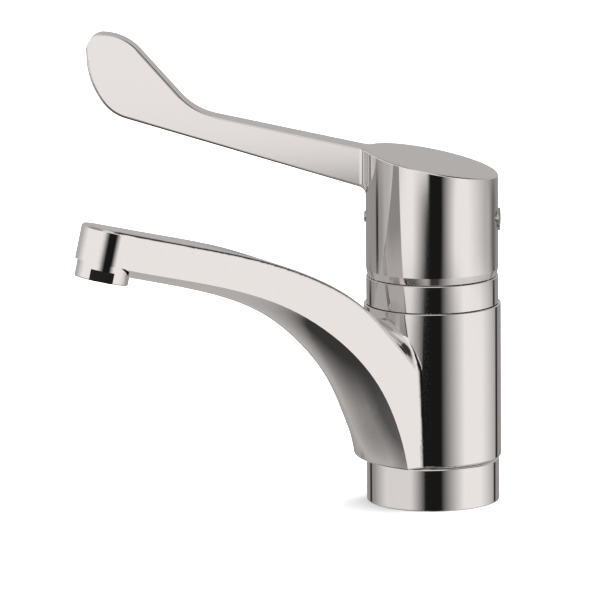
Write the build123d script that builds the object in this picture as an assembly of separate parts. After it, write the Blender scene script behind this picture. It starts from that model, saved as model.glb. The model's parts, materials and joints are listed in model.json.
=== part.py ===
from build123d import *
import math
import os

# Elbow lever tap: a single lever deck mixer with a swivel spout and a long flat elbow lever.
# Millimetres, +Z up. The origin is the centre of the base on the deck.
# +X is the side that the lever points to. At rest the spout is swung to one side of it.

# Clearances and seams
seam_gap = 0.3
running_gap = 0.3
fit_gap = 0.1
shaft_gap = 0.05
overrun = 1.0
touch_gap = 0.0001

# Base and column
base_radius = 27.0
base_height = 17.7
base_bottom_edge = 0.4
base_top_edge = 0.9
column_radius = 22.0
neck_radius = 20.6
neck_rise = 1.8
groove_radius = 19.5
seal_height = 3.4
lower_seal_place = 33.0
chamber_bottom = 42.5
chamber_height = 14.5
upper_seal_place = 62.0
cartridge_bore_radius = 17.6
cartridge_bore_depth = 17.4
nut_bore_radius = 18.6
nut_bore_depth = 7.0
port_radius = 4.0
port_circle = 8.5
port_angle = 120
inlet_thread_radius = 4.5
inlet_thread_depth = 12.0
stud_radius = 3.4
stud_depth = 14.0
stud_place = 13.0

# Deck gasket in the groove under the base
gasket_inner_radius = 21.0
gasket_outer_radius = 24.0
gasket_height = 1.6

# Spout barrel
barrel_radius = 27.86
barrel_height = 63.3
barrel_edge = 0.9
barrel_rim_edge = 0.3
glide_radius = 24.5
glide_height = 1.5
seal_lip = 0.8

# Spout arm, measured along its own direction
spout_swing = 35
reach = 151.0
outlet_rise_share = 1.3838
tip_radius = 11.9
tip_tilt = 13.9
tip_land = 0.6
arm_root_share = 0.7753
arm_height = 26.0
arm_top_edge = 1.5
arm_root_fillet = 3.5
belly_start_share = 0.847
# crease between wall and belly: share of the way from the barrel's side to the outlet,
# share of the rise, slope in degrees, sag share
crease_shares = (
    (1.0, 1.0, 13.9, 0.27),
    (0.8884, 0.966, 14.2, 0.28),
    (0.7204, 0.92, 15.0, 0.27),
    (0.5512, 0.865, 19.5, 0.27),
    (0.3807, 0.783, 28.5, 0.29),
    (0.2679, 0.702, 37.0, 0.33),
    (0.1527, 0.587, 48.0, 0.37),
    (0.0668, 0.459, 60.0, 0.39),
    (0.0104, 0.32, 72.0, 0.37),
    (-0.0337, 0.06, 90.0, 0.34),
)
# ridge line of the top face: share of the way from the barrel's side to the outlet, share of the rise
ridge_shares = (
    (0.8038, 1.075),
    (0.55, 1.0),
    (0.2949, 0.892),
    (0.1232, 0.771),
    (0.008, 0.633),
)
ridge_tip_slope = 14.9
ridge_root_slope = 50
upward_share = 0.3

# Waterway through the arm, with its two bends by the same shares as the ridge line
waterway_radius = 3.6
waterway_inlet_rise = 48.3
waterway_shares = ((0.2606, 0.747), (0.7241, 0.982))
waterway_bend = 25.0
waterway_above_land = 5.1

# Aerator at the tip
aerator_radius = 10.8
aerator_visible_height = 7.0
aerator_thread_radius = 10.0
aerator_thread_height = 4.0
aerator_bore_radius = 8.7
aerator_lip = 1.0
aerator_edge = 0.6
flat_depth = 1.1
flat_height = 4.5
flat_turn = 60
insert_height = 6.0
jet_radius = 0.7
jet_rows = ((1, 0), (6, 3.0), (12, 6.0))
mesh_height = 0.5
mesh_pitch = 2.6
mesh_hole = 1.8
aerator_seal_height = 1.5
aerator_seal_width = 2.0

# Collar ring
collar_radius = 26.84
collar_height = 10.96
collar_skirt = 5.4
collar_edge = 0.3
socket_sphere = 27.6

# Lever cap
cap_radius = 26.88
cap_wall = 2.5
cap_roof = 5.0
cap_axis_height = 139.6
cap_rim_edge = 0.8
pivot_rise = 8.0

# Lever arm and elbow blade
lever_reach = 139.9
lever_height = 191.7
arm_underside = 121.2
arm_half_width = 6.9
blade_half_width = 4.1
arm_edge = 1.2
arm_cap_fillet = 4.0
# corners: share of the reach, share of the height above the corner before or under them
heel_shares = (0.932, 0.5257)
outer_corner_shares = (0.995, 0.421)
crest_corner_shares = (0.883, 0.955)
throat_shares = (0.686, 0.383)
heel_bend_share = 0.82
outer_bend_share = 0.98
tip_bend_share = 0.95
crest_bend_share = 0.98
throat_bend_share = 0.42
tip_ease = 0.05

# Cartridge
housing_radius = 17.5
housing_head_radius = 15.5
housing_bore_radius = 14.0
housing_foot_height = 11.0
housing_roof = 3.0
plate_height = 6.0
port_seal_height = 1.5
port_seal_width = 1.2
disc_height = 4.0
moving_disc_radius = 11.0
carrier_height = 7.0
carrier_floor = 3.0
tongue_half_width = 7.0
tongue_half_length = 8.6
tongue_height = 1.6
sleeve_radius = 11.0
sleeve_flange_radius = 13.6
sleeve_flange_height = 3.3
sleeve_rise = 3.4
sleeve_slot_half_length = 8.0
nut_hex_radius = 19.2
nut_hex_height = 3.2
pin_radius = 1.5
pin_half_length = 10.2
lift_range = 20

# Spindle, socket insert and grub screw
spindle_width = 8.0
spindle_rise = 21.4
spindle_drop = 5.0
spindle_neck_radius = 2.2
ball_radius = 2.5
ball_drop = 14.0
insert_wall = 1.5
boss_radius = 9.5
boss_drop = 8.4
rib_half_width = 5.0
grub_rise = 15.1
grub_radius = 2.4
grub_length = 12.0
grub_socket_radius = 1.4
grub_socket_depth = 2.5
rib_depth = 5.2

# Rear plug and indicator button
plug_radius = 4.65
plug_length = 3.0
plug_proud = 0.8
plug_socket_radius = 2.5
plug_socket_depth = 1.6
plug_edge = 0.3
button_radius = 2.3
button_length = 3.0
button_proud = 0.6
button_rise = 15.8

# Heights that follow
barrel_bottom = base_height + seam_gap
barrel_top = barrel_bottom + barrel_height
collar_bottom = barrel_top + seam_gap
collar_top = collar_bottom + collar_height
cap_bottom = collar_top + seam_gap
pivot_height = collar_top + pivot_rise
outlet_rise = barrel_top * outlet_rise_share
arm_root_half_width = barrel_radius * arm_root_share
belly_start = barrel_radius * belly_start_share
throat_run = lever_reach * throat_shares[0]
throat_rise = (lever_height - cap_axis_height) * throat_shares[1]
cap_slope = math.degrees(math.atan2(throat_rise, throat_run))
neck_bottom = collar_bottom - collar_skirt - fit_gap
column_top = collar_bottom + neck_rise
cartridge_floor = column_top - cartridge_bore_depth
barrel_bore_radius = column_radius + running_gap
skirt_sphere = socket_sphere - running_gap
plate_bottom = cartridge_floor + running_gap
fixed_disc_bottom = plate_bottom + plate_height + running_gap
moving_disc_bottom = fixed_disc_bottom + disc_height
carrier_bottom = moving_disc_bottom + disc_height
carrier_top = carrier_bottom + carrier_height
sleeve_bottom = carrier_top + running_gap
sleeve_shoulder = sleeve_bottom + sleeve_flange_height
housing_shoulder = plate_bottom + housing_foot_height
housing_roof_bottom = sleeve_shoulder + fit_gap
sleeve_top = pivot_height + sleeve_rise
slide_travel = ball_drop * math.radians(lift_range)
disc_rest = -slide_travel / 2

# Boxes and cylinders stand on their place
upright = (Align.CENTER, Align.CENTER, Align.MIN)


def tube(outer, inner, bottom, top):
    """A ring round Z between two heights."""
    ring = Circle(outer) - Circle(inner) if inner else Circle(outer)
    return Pos(0, 0, bottom) * extrude(ring, top - bottom)


def circle_at(angle, distance):
    """A point on a circle round Z."""
    return (distance * math.cos(math.radians(angle)), distance * math.sin(math.radians(angle)))


def port_places():
    """Outlet port in front, the two inlet ports behind it."""
    return [circle_at(index * port_angle, port_circle) for index in range(3)]


def base_column():
    flange = Cylinder(base_radius, base_height, align=upright)
    flange = fillet(flange.edges().group_by(Axis.Z)[0], base_bottom_edge)
    flange = fillet(flange.edges().group_by(Axis.Z)[-1], base_top_edge)
    column = flange + tube(column_radius, 0, 0, neck_bottom)
    column += tube(neck_radius, 0, neck_bottom - overrun, column_top)
    for bottom, height in (
        (lower_seal_place, seal_height),
        (chamber_bottom, chamber_height),
        (upper_seal_place, seal_height),
    ):
        column -= tube(column_radius + overrun, groove_radius, bottom, bottom + height)
    column -= tube(cartridge_bore_radius, 0, cartridge_floor, column_top + overrun)
    column -= tube(nut_bore_radius, 0, column_top - nut_bore_depth, column_top + overrun)
    column -= tube(gasket_outer_radius, gasket_inner_radius, -overrun, gasket_height)
    outlet, hot, cold = port_places()
    chamber_middle = chamber_bottom + chamber_height / 2
    column -= Pos(*outlet, 0) * tube(port_radius, 0, chamber_middle, cartridge_floor + overrun)
    radial = extrude(Plane.YZ * Circle(port_radius), column_radius)
    column -= Pos(outlet[0], 0, chamber_middle) * radial
    column -= Pos(*outlet, chamber_middle) * Sphere(port_radius)
    for place in (hot, cold):
        column -= Pos(*place, 0) * tube(port_radius, 0, -overrun, cartridge_floor + overrun)
        column -= Pos(*place, 0) * tube(inlet_thread_radius, 0, -overrun, inlet_thread_depth)
    column -= Pos(stud_place, 0, 0) * tube(stud_radius, 0, -overrun, stud_depth)
    return column


def deck_gasket():
    return tube(gasket_outer_radius - fit_gap, gasket_inner_radius + fit_gap, 0, gasket_height)


def lip_seal(bottom):
    """Seal ring in a column groove, with a lip that leans out to the barrel's bore."""
    inner = groove_radius + fit_gap
    outer = column_radius + running_gap - shaft_gap
    low = bottom + fit_gap
    high = bottom + seal_height - fit_gap
    lip_root = outer - seal_lip
    section = make_face(
        Polyline(
            (inner, 0, low),
            (lip_root, 0, low),
            (outer, 0, low + seal_lip),
            (outer, 0, low + 2 * seal_lip),
            (lip_root, 0, high),
            (inner, 0, high),
            close=True,
        )
    )
    return revolve(section, Axis.Z)


def lower_glide_ring():
    return tube(glide_radius, column_radius + fit_gap, base_height, base_height + glide_height)


def upper_glide_ring():
    return tube(glide_radius, column_radius + fit_gap, collar_bottom - glide_height, collar_bottom)


def tip_plane():
    """Plane under the spout's tip, square to the outlet."""
    tilt = math.radians(tip_tilt)
    return Plane(
        origin=(reach, 0, outlet_rise),
        x_dir=(math.cos(tilt), 0, math.sin(tilt)),
        z_dir=(-math.sin(tilt), 0, math.cos(tilt)),
    )


def along_arm(run_share, rise_share):
    """A point in the spout's side view, between the barrel's side and the outlet."""
    return (barrel_radius + run_share * (reach - barrel_radius), outlet_rise * rise_share)


def arm_half_width_at(place):
    """The walls taper evenly from the barrel to the round tip."""
    along = (place - belly_start) / (reach - belly_start)
    return arm_root_half_width + (tip_radius - arm_root_half_width) * along


def arm_section(run_share, rise_share, slope, sag_share):
    """Upright walls over a crowned underside, square to the crease."""
    slope = math.radians(slope)
    up = Vector(-math.sin(slope), 0, math.cos(slope))
    run, rise = along_arm(run_share, rise_share)
    middle = Vector(run, 0, rise)
    half = Vector(0, arm_half_width_at(middle.X), 0)
    sag = up * (half.Y * sag_share)
    near, far = middle - half, middle + half
    return Face(
        Wire(
            [
                ThreePointArc(near, middle - sag, far),
                Line(far, far + up * arm_height),
                Line(far + up * arm_height, near + up * arm_height),
                Line(near + up * arm_height, near),
            ]
        )
    )


def ridge_profile():
    """Side view of everything below the arm's flat top face."""
    points = [along_arm(run, rise) for run, rise in ridge_shares]
    tip_slope = math.radians(ridge_tip_slope)
    root_slope = math.radians(ridge_root_slope)
    tip_run = reach + 2 * tip_radius - points[0][0]
    tip_end = (points[0][0] + tip_run, points[0][1] + tip_run * math.tan(tip_slope))
    root_run = points[-1][0] + barrel_radius
    root_end = (-barrel_radius, points[-1][1] - root_run * math.tan(root_slope))
    curve = Spline(
        *points,
        tangents=[
            (-math.cos(tip_slope), -math.sin(tip_slope)),
            (-math.cos(root_slope), -math.sin(root_slope)),
        ],
    )
    low = -barrel_radius
    sides = Polyline(root_end, (root_end[0], root_end[1] + 2 * low), (tip_end[0], low), tip_end)
    edges = [Line(tip_end, points[0]), curve, Line(points[-1], root_end)] + list(sides.edges())
    return Plane.XZ * make_face(edges)


def waterway():
    """Cored passage from the column's chamber to the aerator socket."""
    plane = tip_plane()
    end = plane.origin + plane.z_dir * (aerator_thread_height + waterway_above_land)
    bends = [along_arm(run, rise) for run, rise in waterway_shares]
    root_slope = (bends[0][1] - waterway_inlet_rise) / (bends[0][0] - barrel_bore_radius)
    start = (barrel_bore_radius - waterway_radius, waterway_inlet_rise - waterway_radius * root_slope)
    corners = [(run, 0, rise) for run, rise in [start] + bends]
    path = FilletPolyline(*corners, (end.X, 0, end.Z), radius=waterway_bend)
    section = Plane(origin=path @ 0, z_dir=path % 0) * Circle(waterway_radius)
    return sweep(section, path=path)


def top_edges(arm):
    """The edges round the arm's flat top face, without those inside the barrel."""
    edges = []
    for edge in arm.edges():
        middle = edge @ 0.5
        if middle.X < barrel_radius / 5 or middle.Z < barrel_bottom + overrun:
            continue
        faces = [face for face in arm.faces() if face.distance_to(middle) < touch_gap]
        upward = [face for face in faces if face.normal_at(middle).Z > upward_share]
        if len(upward) == 1:
            edges.append(edge)
    return edges


def spout_casting():
    plane = tip_plane()
    arm = loft([arm_section(*shares) for shares in crease_shares])
    arm += extrude(plane * Circle(tip_radius), arm_height)
    arm -= extrude(plane * Circle(tip_radius + tip_land), -tip_radius)
    arm &= extrude(ridge_profile(), 2 * barrel_radius, both=True)
    arm = fillet(top_edges(arm), arm_top_edge)
    barrel = tube(barrel_radius, 0, barrel_bottom, barrel_top)
    casting = keep_above(arm + barrel, barrel_bottom)
    root = new_edges(arm, barrel, combined=casting)
    root = [edge for edge in root if (edge @ 0.5).Z > barrel_bottom + touch_gap]
    casting = fillet(root, arm_root_fillet)
    casting = fillet(casting.edges().group_by(Axis.Z)[0], barrel_edge)
    rim = [edge for edge in casting.edges() if abs((edge @ 0.5).Z - barrel_top) < touch_gap]
    casting = fillet(rim, barrel_rim_edge)
    casting -= tube(barrel_bore_radius, 0, barrel_bottom - overrun, barrel_top + overrun)
    counterbore = glide_radius + running_gap
    casting -= tube(counterbore, 0, barrel_bottom - overrun, base_height + glide_height)
    casting -= tube(counterbore, 0, collar_bottom - glide_height, barrel_top + overrun)
    casting -= waterway()
    socket = aerator_thread_height + aerator_seal_height
    casting -= extrude(plane * Circle(aerator_thread_radius + fit_gap), socket)
    casting -= extrude(plane * Circle(waterway_radius), socket + waterway_above_land)
    return casting


def keep_above(shape, height):
    """Cut away what reaches below a height."""
    size = 4 * reach
    return shape - Pos(0, 0, height - size / 2) * Box(size, size, size)


def aerator_housing():
    housing = extrude(Circle(aerator_radius), -aerator_visible_height)
    housing = fillet(housing.edges().group_by(Axis.Z)[0], aerator_edge)
    housing += extrude(Circle(aerator_thread_radius), aerator_thread_height)
    housing -= extrude(Circle(aerator_bore_radius - aerator_lip), -aerator_visible_height)
    floor = aerator_lip - aerator_visible_height
    housing -= tube(aerator_bore_radius, 0, floor, aerator_thread_height)
    flat = Box(2 * flat_depth, 2 * aerator_radius, flat_height)
    place = Pos(aerator_radius, 0, flat_height / 2 - aerator_visible_height)
    for side in (0, 180):
        housing -= Rot(0, 0, flat_turn + side) * place * flat
    return tip_plane().location * housing


def aerator_insert():
    plane = tip_plane().offset(aerator_thread_height - insert_height)
    face = Circle(aerator_bore_radius - fit_gap)
    for count, distance in jet_rows:
        for index in range(count):
            face -= Pos(*circle_at(index * 360 / count, distance)) * Circle(jet_radius)
    return extrude(plane * face, insert_height)


def aerator_mesh():
    bottom = aerator_lip - aerator_visible_height
    plane = tip_plane().offset(bottom)
    radius = aerator_bore_radius - fit_gap
    face = Circle(radius)
    rows = int(radius / mesh_pitch)
    for row in range(-rows, rows + 1):
        for column in range(-rows, rows + 1):
            if math.hypot(row, column) * mesh_pitch < radius - mesh_pitch / 2:
                face -= Pos(row * mesh_pitch, column * mesh_pitch) * Rectangle(mesh_hole, mesh_hole)
    return extrude(plane * face, mesh_height)


def aerator_seal():
    plane = tip_plane().offset(aerator_thread_height)
    ring = Circle(aerator_thread_radius - fit_gap) - Circle(aerator_thread_radius - aerator_seal_width)
    return extrude(plane * ring, aerator_seal_height - fit_gap)


def collar_ring():
    collar = tube(collar_radius, 0, collar_bottom, collar_top)
    collar += tube(column_radius, 0, collar_bottom - collar_skirt, collar_bottom + overrun)
    collar = fillet(collar.edges().group_by(Axis.Z)[-1], collar_edge)
    collar -= tube(neck_radius + fit_gap, 0, collar_bottom - collar_skirt - overrun, collar_top)
    collar -= Pos(0, 0, pivot_height) * Sphere(socket_sphere)
    return collar


def cartridge_nut():
    nut = tube(nut_bore_radius - fit_gap, 0, housing_shoulder, column_top + fit_gap)
    hexagon = RegularPolygon(nut_hex_radius, 6)
    nut += Pos(0, 0, column_top + fit_gap) * extrude(hexagon, nut_hex_height)
    return nut - tube(housing_head_radius + fit_gap, 0, housing_shoulder - overrun, pivot_height)


def cartridge_housing():
    housing = tube(housing_radius, 0, plate_bottom, housing_shoulder)
    housing += tube(housing_head_radius, 0, housing_shoulder, housing_roof_bottom + housing_roof)
    housing -= tube(housing_bore_radius, 0, plate_bottom - overrun, housing_roof_bottom)
    return housing - tube(sleeve_radius + fit_gap, 0, housing_roof_bottom - overrun, pivot_height)


def cartridge_base_plate():
    plate = tube(housing_bore_radius - fit_gap, 0, plate_bottom, plate_bottom + plate_height)
    seat = port_radius + port_seal_width + fit_gap
    depth = port_seal_height - running_gap
    for place in port_places():
        plate -= Pos(*place, 0) * tube(port_radius, 0, cartridge_floor, carrier_top)
        plate -= Pos(*place, plate_bottom) * tube(seat, 0, -overrun, depth)
        plate -= Pos(*place, plate_bottom + plate_height) * tube(seat, 0, -depth, overrun)
    return plate


def port_seals():
    ring = tube(port_radius + port_seal_width, port_radius, 0, port_seal_height)
    low = cartridge_floor
    high = fixed_disc_bottom - port_seal_height
    return [Pos(*place, level) * ring for level in (low, high) for place in port_places()]


def fixed_disc():
    top = fixed_disc_bottom + disc_height
    disc = tube(housing_bore_radius - fit_gap, 0, fixed_disc_bottom, top)
    for place in port_places():
        disc -= Pos(*place, 0) * tube(port_radius - shaft_gap, 0, cartridge_floor, carrier_top)
    return disc


def moving_disc():
    top = moving_disc_bottom + disc_height
    disc = Pos(disc_rest, 0, 0) * tube(moving_disc_radius, 0, moving_disc_bottom, top)
    pocket = tube(port_radius, 0, moving_disc_bottom - overrun, moving_disc_bottom + disc_height / 2)
    return disc - Pos(disc_rest, 0, 0) * pocket


def disc_carrier():
    carrier = Pos(disc_rest, 0, 0) * tube(moving_disc_radius, 0, carrier_bottom, carrier_top)
    tongue = Box(2 * tongue_half_length, 2 * tongue_half_width, tongue_height + overrun)
    tongue_place = Pos(disc_rest, 0, carrier_top + (tongue_height - overrun) / 2)
    carrier += tongue_place * tongue
    height = carrier_height + tongue_height
    slot_width = 2 * (ball_radius + running_gap)
    slot = Box(slot_width, slot_width, height, align=upright)
    carrier -= Pos(0, 0, carrier_bottom + carrier_floor) * slot
    mouth = Box(2 * ball_radius + spindle_neck_radius, slot_width, height, align=upright)
    return carrier - Pos(0, 0, pivot_height - ball_drop) * mouth


def turning_sleeve():
    sleeve = tube(sleeve_radius, 0, sleeve_bottom, sleeve_top)
    sleeve += tube(sleeve_flange_radius, 0, sleeve_bottom, sleeve_shoulder)
    groove_width = 2 * (tongue_half_width + fit_gap)
    groove_height = 2 * (tongue_height + fit_gap)
    sleeve -= Pos(0, 0, sleeve_bottom) * Box(4 * sleeve_radius, groove_width, groove_height)
    slot_width = spindle_width + 2 * running_gap
    slot = Box(2 * sleeve_slot_half_length, slot_width, 4 * sleeve_radius)
    sleeve -= Pos(0, 0, pivot_height) * slot
    pin_hole = extrude(Plane.XZ * Circle(pin_radius), 2 * sleeve_radius, both=True)
    return sleeve - Pos(0, 0, pivot_height) * pin_hole


def pivot_pin():
    pin = extrude(Plane.XZ * Circle(pin_radius), pin_half_length, both=True)
    return Pos(0, 0, pivot_height) * pin


def lever_spindle():
    bottom = pivot_height - spindle_drop
    stem = Box(spindle_width, spindle_width, spindle_drop + spindle_rise, align=upright)
    spindle = Pos(0, 0, bottom) * stem
    ball_height = pivot_height - ball_drop
    spindle += tube(spindle_neck_radius, 0, ball_height, bottom + overrun)
    spindle += Pos(0, 0, ball_height) * Sphere(ball_radius)
    hole = extrude(Plane.XZ * Circle(pin_radius + shaft_gap), spindle_width, both=True)
    return spindle - Pos(0, 0, pivot_height) * hole


def socket_bottom():
    return pivot_height + boss_drop


def insert_top():
    return pivot_height + spindle_rise + running_gap + insert_wall


def lever_socket_insert():
    inner = spindle_width + 2 * fit_gap
    outer = inner + 2 * insert_wall
    height = insert_top() - socket_bottom()
    insert = Box(outer, outer, height, align=upright)
    insert -= Box(inner, inner, height - insert_wall, align=upright)
    window = extrude(Plane.YZ * Circle(grub_radius + fit_gap), -outer)
    window_place = Pos(0, 0, pivot_height + grub_rise - socket_bottom())
    return Pos(0, 0, socket_bottom()) * (insert - window_place * window)


def cap_top_plane(offset):
    """Plane parallel to the cap's slanted rim."""
    slope = math.radians(cap_slope)
    normal = Vector(-math.sin(slope), 0, math.cos(slope))
    return Plane(
        origin=Vector(0, 0, cap_axis_height) + normal * offset,
        x_dir=(math.cos(slope), 0, math.sin(slope)),
        z_dir=normal,
    )


def lever_corners():
    """Side view of the arm and the upright blade: heel, outer, tip, crest and throat corners."""
    heel_rise = (lever_height - arm_underside) * heel_shares[1]
    heel = (lever_reach * heel_shares[0], arm_underside + heel_rise)
    throat = (throat_run, cap_axis_height + throat_rise)
    outer_rise = (lever_height - heel[1]) * outer_corner_shares[1]
    crest_rise = (lever_height - throat[1]) * crest_corner_shares[1]
    outer = (lever_reach * outer_corner_shares[0], heel[1] + outer_rise)
    crest = (lever_reach * crest_corner_shares[0], throat[1] + crest_rise)
    return heel, outer, (lever_reach, lever_height), crest, throat


def bend(before, corner, after, share):
    """Share of the largest bend that leaves half of each run to the next corner."""
    near = Vector(*before) - Vector(*corner)
    far = Vector(*after) - Vector(*corner)
    half_angle = math.radians(near.get_angle(far)) / 2
    return share * min(near.length, far.length) / 2 * math.tan(half_angle)


def beyond(start, end):
    """A run's end, moved on by the run's own length."""
    return (2 * end[0] - start[0], 2 * end[1] - start[1])


def side_view(path, corners):
    """A face in the side view between a path and the corners that close it."""
    closing = Polyline(path @ 1, *corners, path @ 0)
    return Plane.XZ * make_face(list(path.edges()) + list(closing.edges()))


def lever_blank():
    """Tall cap and tall arm, blended, with the arm and blade shaped from below."""
    heel, outer, tip, crest, throat = lever_corners()
    root = (0, arm_underside)
    top = beyond(outer, tip)
    bends = [bend(root, heel, outer, heel_bend_share), bend(heel, outer, tip, outer_bend_share)]
    path = FilletPolyline(root, heel, outer, top, radius=bends)
    arm = extrude(side_view(path, [(0, top[1])]), 2 * arm_half_width, both=True)
    far = beyond((0, arm_half_width), (lever_reach, blade_half_width))
    outline = Polyline((0, -arm_half_width), (far[0], -far[1]), far, (0, arm_half_width), close=True)
    arm &= extrude(make_face(outline), top[1])
    sides = [edge for edge in arm.edges() if (edge @ 0).Y * (edge @ 1).Y > 0]
    sides = [edge for edge in sides if edge.center().X > overrun]
    arm = fillet([edge for edge in sides if edge.center().Z < top[1] - touch_gap], arm_edge)
    cap = tube(cap_radius, 0, cap_bottom, top[1])
    blank = cap + arm
    joint = new_edges(cap, arm, combined=blank)
    return fillet([edge for edge in joint if edge.center().X > cap_radius / 2], arm_cap_fillet)


def above_lever():
    """Everything above the slanted top of the cap and arm, and above the blade's crest."""
    heel, outer, tip, crest, throat = lever_corners()
    back = beyond(throat, (0, cap_axis_height))
    end = beyond(crest, tip)
    bends = [bend(back, throat, crest, throat_bend_share), bend(throat, crest, tip, crest_bend_share)]
    path = FilletPolyline(back, throat, crest, end, radius=bends)
    face = side_view(path, [(end[0], 2 * lever_height), (back[0], 2 * lever_height)])
    return extrude(face, 2 * cap_radius, both=True)


def past_tip():
    """Everything outside the round corner at the blade's tip."""
    heel, outer, tip, crest, throat = lever_corners()
    start = (crest[0], crest[1] + tip_ease)
    end = (outer[0] + tip_ease, outer[1])
    path = FilletPolyline(start, tip, end, radius=bend(crest, tip, outer, tip_bend_share))
    corners = [(2 * tip[0], end[1]), (2 * tip[0], 2 * tip[1]), (start[0], 2 * tip[1])]
    return extrude(side_view(path, corners), 2 * cap_radius, both=True)


def lever_body():
    """Cap, arm and blade as one solid form."""
    body = lever_blank() - above_lever()
    top = body.faces().filter_by(cap_top_plane(0)).sort_by(SortBy.AREA)[-1]
    rim = [edge for edge in top.edges() if edge.center().X < throat_run / 2]
    body = fillet(rim, cap_rim_edge)
    return body - past_tip()


def below_roof(shape):
    """Cut a shape off at the underside of the cap's roof."""
    size = 8 * cap_radius
    above = extrude(cap_top_plane(-cap_roof) * Rectangle(size, size), size)
    return shape - above


def lever_casting():
    below = tube(cap_radius + overrun, 0, cap_bottom - overrun, pivot_height)
    casting = lever_body() - (below - Pos(0, 0, pivot_height) * Sphere(skirt_sphere))
    cavity = tube(cap_radius - cap_wall, boss_radius, cap_bottom - overrun, lever_height)
    cavity += tube(boss_radius + overrun, 0, cap_bottom - overrun, socket_bottom())
    rib_bottom = pivot_height + grub_rise - rib_depth
    rib_height = lever_height - rib_bottom
    rib_side = (Align.MAX, Align.CENTER, Align.MIN)
    rib = Box(cap_radius, 2 * rib_half_width, rib_height, align=rib_side)
    cavity -= Pos(0, 0, rib_bottom) * rib
    casting -= below_roof(cavity)
    socket_width = spindle_width + 2 * (insert_wall + 2 * fit_gap)
    socket_height = insert_top() + fit_gap - socket_bottom() + overrun
    socket = Box(socket_width, socket_width, socket_height, align=upright)
    casting -= Pos(0, 0, socket_bottom() - overrun) * socket
    bore = extrude(Plane.YZ * Circle(grub_radius + shaft_gap), -2 * cap_radius)
    casting -= Pos(0, 0, pivot_height + grub_rise) * bore
    casting -= Pos(plug_seat(), 0, pivot_height + grub_rise) * pocket(plug_radius, -plug_length)
    return casting - Pos(button_seat(), 0, pivot_height + button_rise) * pocket(button_radius, button_length)


def pocket(radius, length):
    """A round hole along X."""
    return extrude(Plane.YZ * Circle(radius + shaft_gap), length)


def plug_seat():
    return plug_length - plug_proud - cap_radius


def button_seat():
    return cap_radius + button_proud - button_length


def rear_plug():
    """Plug over the grub screw, with a hexagon socket."""
    plug = extrude(Plane.YZ * Circle(plug_radius), plug_length)
    plug = fillet(plug.edges().group_by(Axis.X)[0], plug_edge)
    plug -= extrude(Plane.YZ * RegularPolygon(plug_socket_radius, 6), plug_socket_depth)
    return Pos(-cap_radius - plug_proud, 0, pivot_height + grub_rise) * plug


def indicator_button():
    button = extrude(Plane.YZ * Circle(button_radius), button_length)
    button = fillet(button.edges().group_by(Axis.X)[-1], plug_edge)
    return Pos(button_seat(), 0, pivot_height + button_rise) * button


def grub_screw():
    screw = extrude(Plane.YZ * Circle(grub_radius), -grub_length)
    socket = extrude(Plane.YZ * RegularPolygon(grub_socket_radius, 6), grub_socket_depth)
    screw -= Pos(-grub_length, 0, 0) * socket
    return Pos(-spindle_width / 2, 0, pivot_height + grub_rise) * screw


def write(name, shape):
    """One file for each piece, or for each group of like pieces."""
    solids = Compound(children=shape) if isinstance(shape, list) else shape
    export_step(solids, os.path.join("parts", name + ".step"))


def main():
    os.makedirs("parts", exist_ok=True)
    write("base_column", base_column())
    write("deck_gasket", deck_gasket())
    write("lower_glide_ring", lower_glide_ring())
    write("upper_glide_ring", upper_glide_ring())
    write("lower_lip_seal", lip_seal(lower_seal_place))
    write("upper_lip_seal", lip_seal(upper_seal_place))
    write("collar_ring", collar_ring())
    write("cartridge_nut", cartridge_nut())
    write("cartridge_housing", cartridge_housing())
    write("cartridge_base_plate", cartridge_base_plate())
    write("port_seals", port_seals())
    write("fixed_disc", fixed_disc())
    swing = Rot(0, 0, spout_swing)
    write("spout_casting", swing * spout_casting())
    write("aerator_housing", swing * aerator_housing())
    write("aerator_insert", swing * aerator_insert())
    write("aerator_mesh", swing * aerator_mesh())
    write("aerator_seal", swing * aerator_seal())
    write("turning_sleeve", turning_sleeve())
    write("pivot_pin", pivot_pin())
    write("moving_disc", moving_disc())
    write("disc_carrier", disc_carrier())
    write("lever_casting", lever_casting())
    write("lever_spindle", lever_spindle())
    write("lever_socket_insert", lever_socket_insert())
    write("grub_screw", grub_screw())
    write("rear_plug", rear_plug())
    write("indicator_button", indicator_button())


main()
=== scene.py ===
import json
import math

import bpy
from mathutils import Matrix, Vector

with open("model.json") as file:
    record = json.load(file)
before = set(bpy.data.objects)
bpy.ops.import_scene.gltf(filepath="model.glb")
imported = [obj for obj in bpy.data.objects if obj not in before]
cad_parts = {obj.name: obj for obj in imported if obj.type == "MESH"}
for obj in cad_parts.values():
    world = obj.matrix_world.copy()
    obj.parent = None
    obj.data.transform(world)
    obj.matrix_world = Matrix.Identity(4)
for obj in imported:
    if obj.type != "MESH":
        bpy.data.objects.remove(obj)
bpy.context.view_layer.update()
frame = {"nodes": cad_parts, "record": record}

# Camera, from the rims of the base, body and cap in the photograph. Metres and degrees.
VIEW_TURN = -5.0
VIEW_RISE = 11.05
VIEW_ROLL = -0.46
VIEW_DISTANCE = 2.9418
VIEW_SHIFT_RIGHT = -0.05367
VIEW_HEIGHT = 0.08244
FOCAL_PIXELS = 7250.0
PHOTO_PIXELS = 600.0
SENSOR = 36.0
CLIP_END = 50.0

# Grain that every finish has: the stretch of the noise that is used, and its reach in the roughness
NOISE_LOW, NOISE_HIGH = 0.3, 0.7
GRAIN_DETAIL = 4.0
ROUGHNESS_BASE = 0.85
ROUGHNESS_SWING = 0.3
RELIEF_DEPTH = 0.0002

# Floor
FLOOR_SIZE = 9.0
FLOOR_ROUGHNESS = 0.9
MOTTLE_SCALE = 3.0
MOTTLE_DETAIL = 2.0
FLOOR_COLOUR = (0.93, 0.945, 0.965, 1.0)
FLOOR_MOTTLE = (0.915, 0.93, 0.95, 1.0)

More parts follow.
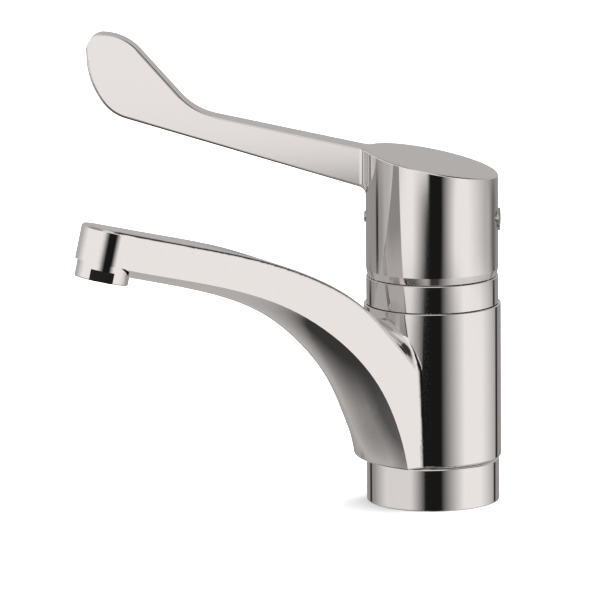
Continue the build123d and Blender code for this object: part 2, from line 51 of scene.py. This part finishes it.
# Studio light around the tap. Its parts have one of these grey levels each.
BOX = 0.88
FILL = 0.72
HALF = 0.46
DIM = 0.30
SHADE = 0.14
FAINT = 0.04
DARK = 0.01
# Bands of it, from the highest down. Each part reaches from one turn from picture left to another,
# and between two parts the light runs evenly. A soft box stands on the left and one on the right,
# between them the dark gap with the camera, then a dim rear, and low down a dark flag on each side.
HIGH_BAND = ((0, 50, DIM), (70, 105, FILL), (125, 180, FAINT), (215, 330, HALF))
LOFT_BAND = ((0, 140, BOX), (195, 320, HALF))
UPPER_BAND = ((0, 60, BOX), (90, 115, DARK), (140, 150, BOX), (195, 320, HALF))
MIDDLE_BAND = ((0, 10, HALF), (45, 80, BOX), (85, 105, DARK), (135, 150, BOX), (210, 335, DIM))
BELT_BAND = (
    (0, 5, HALF), (35, 55, BOX), (80, 105, DARK), (130, 155, BOX), (195, 205, HALF),
    (220, 225, SHADE), (240, 333, DIM), (336, 340, DARK), (343, 350, DIM),
)
SKIRT_BAND = (
    (0, 50, FILL), (76, 103, DARK), (145, 180, BOX), (215, 218, HALF), (223, 227, DARK),
    (232, 303, DIM), (309, 313, DARK), (318, 325, DIM),
)
LOW_BAND = (
    (0, 5, HALF), (35, 55, SHADE), (75, 80, HALF), (87, 100, FAINT), (130, 165, FILL),
    (210, 350, HALF),
)
NADIR_BAND = (
    (0, 50, FAINT), (75, 80, SHADE), (88, 100, FAINT), (145, 275, HALF), (310, 350, FAINT),
)
ZENITH_GREY = HALF
# Upward part of the direction where each band takes over from its neighbour nearer the horizon
HIGH_HEIGHTS = (0.24, 0.42)
ZENITH_HEIGHTS = (0.80, 0.97)
LOFT_HEIGHTS = (0.09, 0.15)
UPPER_HEIGHTS = (-0.13, -0.07)
BELT_HEIGHTS = (-0.174, -0.177)
SKIRT_HEIGHTS = (-0.1875, -0.1905)
LOW_HEIGHTS = (-0.24, -0.46)
NADIR_HEIGHTS = (-0.46, -0.92)
STUDIO_WARMTH = (1.02, 0.983, 0.96)
WORLD_STRENGTH = 1.0

# Overhead lamp: lights the floor and the dull pieces, and isn't mirrored
LAMP_HEIGHT = 2.2
LAMP_SIZE = 3.0
LAMP_POWER = 150.0


def linked(tree, kind, **inputs):
    """A shader node with some of its sockets set or linked by name."""
    node = tree.nodes.new(kind)
    for name, value in inputs.items():
        socket = node.inputs[name.replace("_", " ")]
        if isinstance(value, bpy.types.NodeSocket):
            tree.links.new(value, socket)
        else:
            socket.default_value = value
    return node


def maths(tree, operation, first, second=0.0, third=0.5):
    """A math node's output. Each value is a number or a socket."""
    node = tree.nodes.new("ShaderNodeMath")
    node.operation = operation
    for socket, value in zip(node.inputs, (first, second, third)):
        if isinstance(value, bpy.types.NodeSocket):
            tree.links.new(value, socket)
        else:
            socket.default_value = value
    return node.outputs[0]


def ramp(tree, factor, stops):
    """A colour ramp's output over a factor, with the given positions and colours."""
    node = tree.nodes.new("ShaderNodeValToRGB")
    tree.links.new(factor, node.inputs["Fac"])
    elements = node.color_ramp.elements
    while len(elements) > 1:
        elements.remove(elements[-1])
    elements[0].position, elements[0].color = stops[0]
    for position, colour in stops[1:]:
        elements.new(position).color = colour
    return node.outputs["Color"]


def studio_grey(level):
    """A grey level with the studio's slight warmth."""
    return tuple(level * part for part in STUDIO_WARMTH) + (1.0,)


def polished(name, colour, roughness, metallic=1.0, grain=0.02, scale=900.0, bump=0.004):
    """A hard finish: fine mottling in its colour and roughness, and a faint bump."""
    material = bpy.data.materials.new(name)
    material.use_nodes = True
    tree = material.node_tree
    shader = tree.nodes["Principled BSDF"]
    place = tree.nodes.new("ShaderNodeTexCoord").outputs["Object"]
    noise = linked(tree, "ShaderNodeTexNoise", Vector=place, Scale=scale, Detail=GRAIN_DETAIL)
    low = tuple(max(0.0, part * (1.0 - grain)) for part in colour) + (1.0,)
    high = tuple(min(1.0, part * (1.0 + grain)) for part in colour) + (1.0,)
    colours = ramp(tree, noise.outputs["Fac"], [(NOISE_LOW, low), (NOISE_HIGH, high)])
    tree.links.new(colours, shader.inputs["Base Color"])
    swing, base = roughness * ROUGHNESS_SWING, roughness * ROUGHNESS_BASE
    rough = maths(tree, "MULTIPLY_ADD", noise.outputs["Fac"], swing, base)
    tree.links.new(rough, shader.inputs["Roughness"])
    shader.inputs["Metallic"].default_value = metallic
    height = noise.outputs["Fac"]
    relief = linked(tree, "ShaderNodeBump", Height=height, Strength=bump, Distance=RELIEF_DEPTH)
    tree.links.new(relief.outputs["Normal"], shader.inputs["Normal"])
    return material


def band_colour(tree, share, band):
    """A band's colour by its share of a full turn. The last part runs back into the first."""
    stops = [(turn, level) for start, end, level in band for turn in (start, end)]
    stops.append((360, band[0][2]))
    return ramp(tree, share, [(turn / 360.0, studio_grey(level)) for turn, level in stops])


def studio_world():
    """Soft studio surroundings in bands of height, with a dark gap where the camera stands."""
    world = bpy.data.worlds.new("studio")
    bpy.context.scene.world = world
    world.use_nodes = True
    tree = world.node_tree
    background = tree.nodes["Background"]
    direction = tree.nodes.new("ShaderNodeTexCoord").outputs["Generated"]
    parts = linked(tree, "ShaderNodeSeparateXYZ", Vector=direction)
    turn = maths(tree, "ARCTAN2", parts.outputs["Y"], parts.outputs["X"])
    share = maths(tree, "DIVIDE", maths(tree, "ADD", turn, math.radians(VIEW_TURN)), 2 * math.pi)
    share = maths(tree, "FRACT", maths(tree, "ADD", share, 1.0))
    colour = band_colour(tree, share, MIDDLE_BAND)
    layers = (
        (UPPER_HEIGHTS, band_colour(tree, share, UPPER_BAND)),
        (LOFT_HEIGHTS, band_colour(tree, share, LOFT_BAND)),
        (HIGH_HEIGHTS, band_colour(tree, share, HIGH_BAND)),
        (ZENITH_HEIGHTS, studio_grey(ZENITH_GREY)),
        (BELT_HEIGHTS, band_colour(tree, share, BELT_BAND)),
        (SKIRT_HEIGHTS, band_colour(tree, share, SKIRT_BAND)),
        (LOW_HEIGHTS, band_colour(tree, share, LOW_BAND)),
        (NADIR_HEIGHTS, band_colour(tree, share, NADIR_BAND)),
    )
    for (start, full), layer in layers:
        up = parts.outputs["Z"]
        taken = linked(tree, "ShaderNodeMapRange", Value=up, From_Min=start, From_Max=full)
        mix = tree.nodes.new("ShaderNodeMix")
        mix.data_type = "RGBA"
        tree.links.new(taken.outputs["Result"], mix.inputs["Factor"])
        tree.links.new(colour, mix.inputs["A"])
        if isinstance(layer, bpy.types.NodeSocket):
            tree.links.new(layer, mix.inputs["B"])
        else:
            mix.inputs["B"].default_value = layer
        colour = mix.outputs["Result"]
    tree.links.new(colour, background.inputs["Color"])
    background.inputs["Strength"].default_value = WORLD_STRENGTH


def overhead_lamp():
    """One wide, soft lamp above the tap that the metal doesn't mirror."""
    data = bpy.data.lights.new("overhead", "AREA")
    data.size = LAMP_SIZE
    data.energy = LAMP_POWER
    lamp = bpy.data.objects.new("overhead", data)
    lamp.location = (0.0, 0.0, LAMP_HEIGHT)
    lamp.visible_glossy = False
    bpy.context.scene.collection.objects.link(lamp)


def studio_floor():
    """A plain pale floor, which the metal doesn't mirror either."""
    mesh = bpy.data.meshes.new("floor")
    half = FLOOR_SIZE / 2
    corners = [(-half, -half, 0), (half, -half, 0), (half, half, 0), (-half, half, 0)]
    mesh.from_pydata(corners, [], [(0, 1, 2, 3)])
    floor = bpy.data.objects.new("floor", mesh)
    bpy.context.scene.collection.objects.link(floor)
    material = bpy.data.materials.new("floor")
    material.use_nodes = True
    tree = material.node_tree
    shader = tree.nodes["Principled BSDF"]
    place = tree.nodes.new("ShaderNodeTexCoord").outputs["Object"]
    mottle = {"Scale": MOTTLE_SCALE, "Detail": MOTTLE_DETAIL}
    noise = linked(tree, "ShaderNodeTexNoise", Vector=place, **mottle)
    stops = [(NOISE_LOW, FLOOR_COLOUR), (NOISE_HIGH, FLOOR_MOTTLE)]
    tree.links.new(ramp(tree, noise.outputs["Fac"], stops), shader.inputs["Base Color"])
    shader.inputs["Roughness"].default_value = FLOOR_ROUGHNESS
    shader.inputs["Specular IOR Level"].default_value = 0.0
    mesh.materials.append(material)
    floor.visible_glossy = False


def camera():
    """The camera where the photograph's stood, fitted to the rims of the tap."""
    turn, rise, roll = (math.radians(value) for value in (VIEW_TURN, VIEW_RISE, VIEW_ROLL))
    outward = Vector((math.sin(turn), math.cos(turn), 0.0))
    upright = Vector((0.0, 0.0, 1.0))
    towards = math.cos(rise) * outward + math.sin(rise) * upright
    right = Vector((-math.cos(turn), math.sin(turn), 0.0))
    up = math.cos(rise) * upright - math.sin(rise) * outward
    right_rolled = math.cos(roll) * right + math.sin(roll) * up
    up_rolled = math.cos(roll) * up - math.sin(roll) * right
    place = Vector((0.0, 0.0, VIEW_HEIGHT)) + VIEW_SHIFT_RIGHT * right + VIEW_DISTANCE * towards
    data = bpy.data.cameras.new("camera")
    data.sensor_width = SENSOR
    data.lens = SENSOR * FOCAL_PIXELS / PHOTO_PIXELS
    data.clip_end = CLIP_END
    shooter = bpy.data.objects.new("camera", data)
    rotation = Matrix((right_rolled, up_rolled, towards)).transposed()
    shooter.matrix_world = Matrix.Translation(place) @ rotation.to_4x4()
    bpy.context.scene.collection.objects.link(shooter)
    bpy.context.scene.camera = shooter


FINISHES = {
    "chrome": polished("chrome", (0.895, 0.882, 0.874), 0.045, grain=0.01, bump=0.001),
    "brass": polished("brass", (0.74, 0.58, 0.33), 0.28, grain=0.06, scale=500.0, bump=0.03),
    "steel": polished("steel", (0.62, 0.62, 0.63), 0.25, grain=0.05, scale=700.0, bump=0.03),
    "ceramic": polished("ceramic", (0.93, 0.92, 0.88), 0.15, metallic=0.0),
    "white_plastic": polished("white_plastic", (0.86, 0.86, 0.84), 0.45, metallic=0.0, bump=0.05),
    "grey_plastic": polished("grey_plastic", (0.33, 0.34, 0.36), 0.5, metallic=0.0, bump=0.06),
    "rubber": polished("rubber", (0.03, 0.03, 0.03), 0.7, metallic=0.0, grain=0.2, bump=0.15),
    "dark_plug": polished("dark_plug", (0.56, 0.55, 0.54), 0.18, grain=0.04),
}

slot_of = {entry["node"]: entry["material_slot"] for entry in frame["record"]["subparts"]}
for node, piece in frame["nodes"].items():
    piece.data.materials.clear()
    piece.data.materials.append(FINISHES[slot_of[node]])

studio_world()
overhead_lamp()
studio_floor()
camera()
bpy.context.scene.view_settings.view_transform = "Standard"
